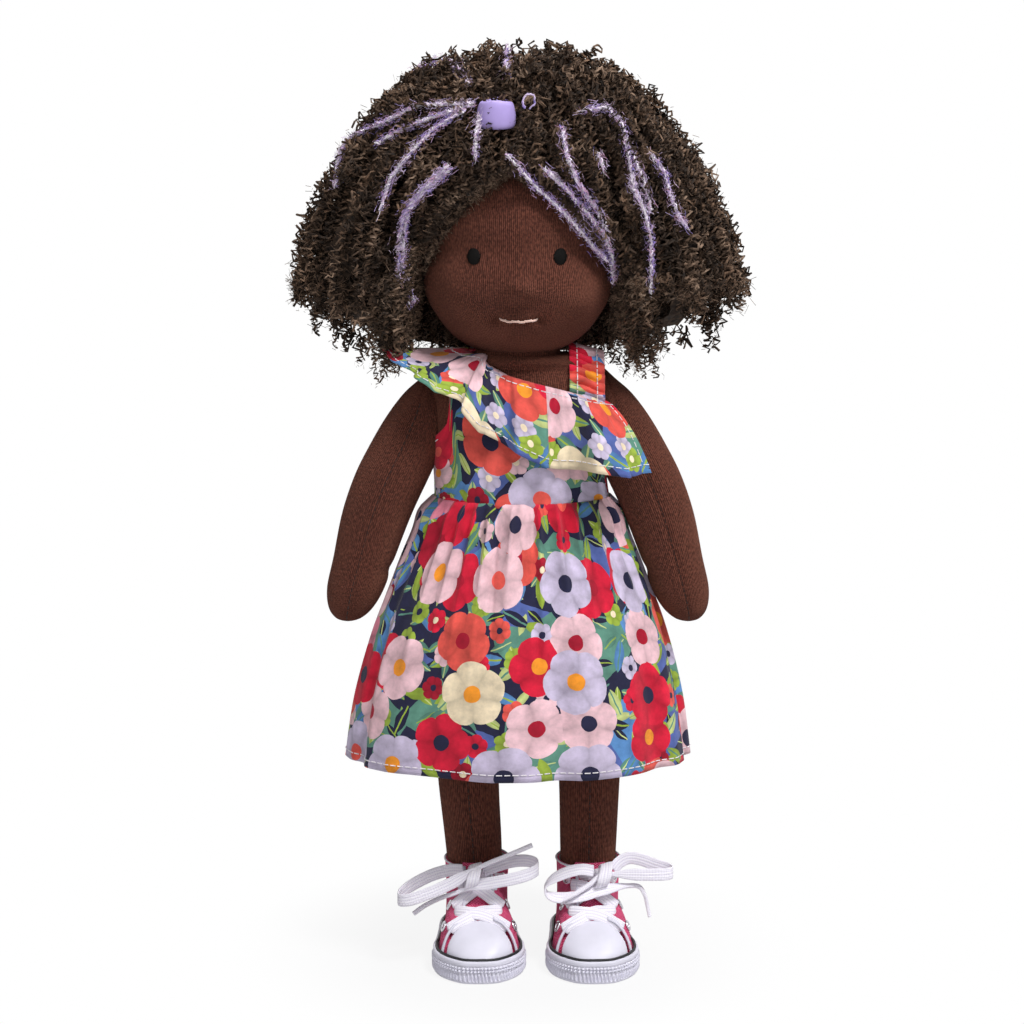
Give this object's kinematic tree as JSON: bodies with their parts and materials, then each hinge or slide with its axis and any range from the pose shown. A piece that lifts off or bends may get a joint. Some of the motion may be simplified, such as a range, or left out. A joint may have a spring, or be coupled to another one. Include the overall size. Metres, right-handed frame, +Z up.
{
  "type": "waldorf doll",
  "caption": "Standing stuffed cloth doll with a round knit head, bushy yarn hair, sewn arms and legs, a one-shoulder ruffled dress and laced canvas shoes.",
  "frame": {"origin": "centre of the doll's box, on the surface that its shoes stand on", "axes": "+Z up, -Y the way the face looks, +X the doll's own left"},
  "size_m": [0.186, 0.1155, 0.3802],
  "materials": {
    "knit_skin": "fine cotton jersey knit",
    "wool_fill": "carded wool",
    "seam_thread": "sewing thread",
    "eye_thread": "embroidery thread",
    "mouth_thread": "embroidery thread",
    "yarn_hair": "curled boucle yarn",
    "hair_band": "knitted elastic",
    "dress_cotton": "printed plain-weave cotton",
    "shoe_canvas": "woven canvas",
    "shoe_rubber": "moulded white rubber",
    "lace_cotton": "flat woven lace",
    "eyelet_metal": "nickel-plated"
  },
  "bodies": {
    "torso": {"torso_skin": "knit_skin", "torso_stuffing": "wool_fill", "dress_bodice": "dress_cotton", "dress_strap": "dress_cotton", "dress_skirt": "dress_cotton", "dress_ruffle": "dress_cotton"},
    "neck": {"neck_stem": "wool_fill", "neck_tie": "seam_thread"},
    "head": {"head_skin": "knit_skin", "head_wool_core": "wool_fill", "left_eye": "eye_thread", "right_eye": "eye_thread", "mouth_stitch": "mouth_thread", "wig_cap": "yarn_hair", "hair_tie": "hair_band", "hair_fringe_left": "yarn_hair", "hair_side_left": "yarn_hair", "hair_back": "yarn_hair", "hair_side_right": "yarn_hair", "hair_fringe_right": "yarn_hair", "hair_top": "yarn_hair"},
    "left_arm": {"left_arm_skin": "knit_skin", "left_arm_stuffing": "wool_fill"},
    "right_arm": {"right_arm_skin": "knit_skin", "right_arm_stuffing": "wool_fill"},
    "hip_seam": {"hip_seam_roll": "seam_thread"},
    "left_leg": {"left_leg_skin": "knit_skin", "left_leg_stuffing": "wool_fill", "left_shoe_sole": "shoe_rubber", "left_shoe_insole": "lace_cotton", "left_shoe_upper": "shoe_canvas", "left_shoe_toe_cap": "shoe_rubber", "left_shoe_tongue": "shoe_canvas", "left_lace": "lace_cotton", "left_lace_end_outer": "lace_cotton", "left_lace_end_inner": "lace_cotton", "left_eyelet_1_inner": "eyelet_metal", "left_eyelet_1_outer": "eyelet_metal", "left_eyelet_2_inner": "eyelet_metal", "left_eyelet_2_outer": "eyelet_metal", "left_eyelet_3_inner": "eyelet_metal", "left_eyelet_3_outer": "eyelet_metal"},
    "right_leg": {"right_leg_skin": "knit_skin", "right_leg_stuffing": "wool_fill", "right_shoe_sole": "shoe_rubber", "right_shoe_insole": "lace_cotton", "right_shoe_upper": "shoe_canvas", "right_shoe_toe_cap": "shoe_rubber", "right_shoe_tongue": "shoe_canvas", "right_lace": "lace_cotton", "right_lace_end_outer": "lace_cotton", "right_lace_end_inner": "lace_cotton", "right_eyelet_1_inner": "eyelet_metal", "right_eyelet_1_outer": "eyelet_metal", "right_eyelet_2_inner": "eyelet_metal", "right_eyelet_2_outer": "eyelet_metal", "right_eyelet_3_inner": "eyelet_metal", "right_eyelet_3_outer": "eyelet_metal"}
  },
  "joints": [
    {"name": "head_nod", "type": "hinge", "parent": "torso", "child": "neck", "pos_m": [0, -0.008, 0.24607], "axis": [-1, 0, 0], "range_deg": [-8, 6]},
    {"name": "head_turn", "type": "hinge", "parent": "neck", "child": "head", "pos_m": [0, -0.008, 0.26], "axis": [0, 0, 1], "range_deg": [-30, 30]},
    {"name": "left_shoulder", "type": "hinge", "parent": "torso", "child": "left_arm", "pos_m": [0.039, -0.008, 0.234], "axis": [-1, 0, 0], "range_deg": [-40, 75], "deforming": ["dress_ruffle"]},
    {"name": "right_shoulder", "type": "hinge", "parent": "torso", "child": "right_arm", "pos_m": [-0.039, -0.008, 0.234], "axis": [-1, 0, 0], "range_deg": [-40, 75], "deforming": ["dress_ruffle"]},
    {"name": "sit_bend", "type": "hinge", "parent": "torso", "child": "hip_seam", "pos_m": [0.006, -0.008, 0.15], "axis": [-1, 0, 0], "range_deg": [-10, 75], "deforming": ["dress_skirt"]},
    {"name": "left_leg_swing", "type": "hinge", "parent": "hip_seam", "child": "left_leg", "pos_m": [0.0296, -0.008, 0.15], "axis": [-1, 0, 0], "range_deg": [-20, 20]},
    {"name": "right_leg_swing", "type": "hinge", "parent": "hip_seam", "child": "right_leg", "pos_m": [-0.0176, -0.008, 0.15], "axis": [-1, 0, 0], "range_deg": [-20, 20]}
  ]
}
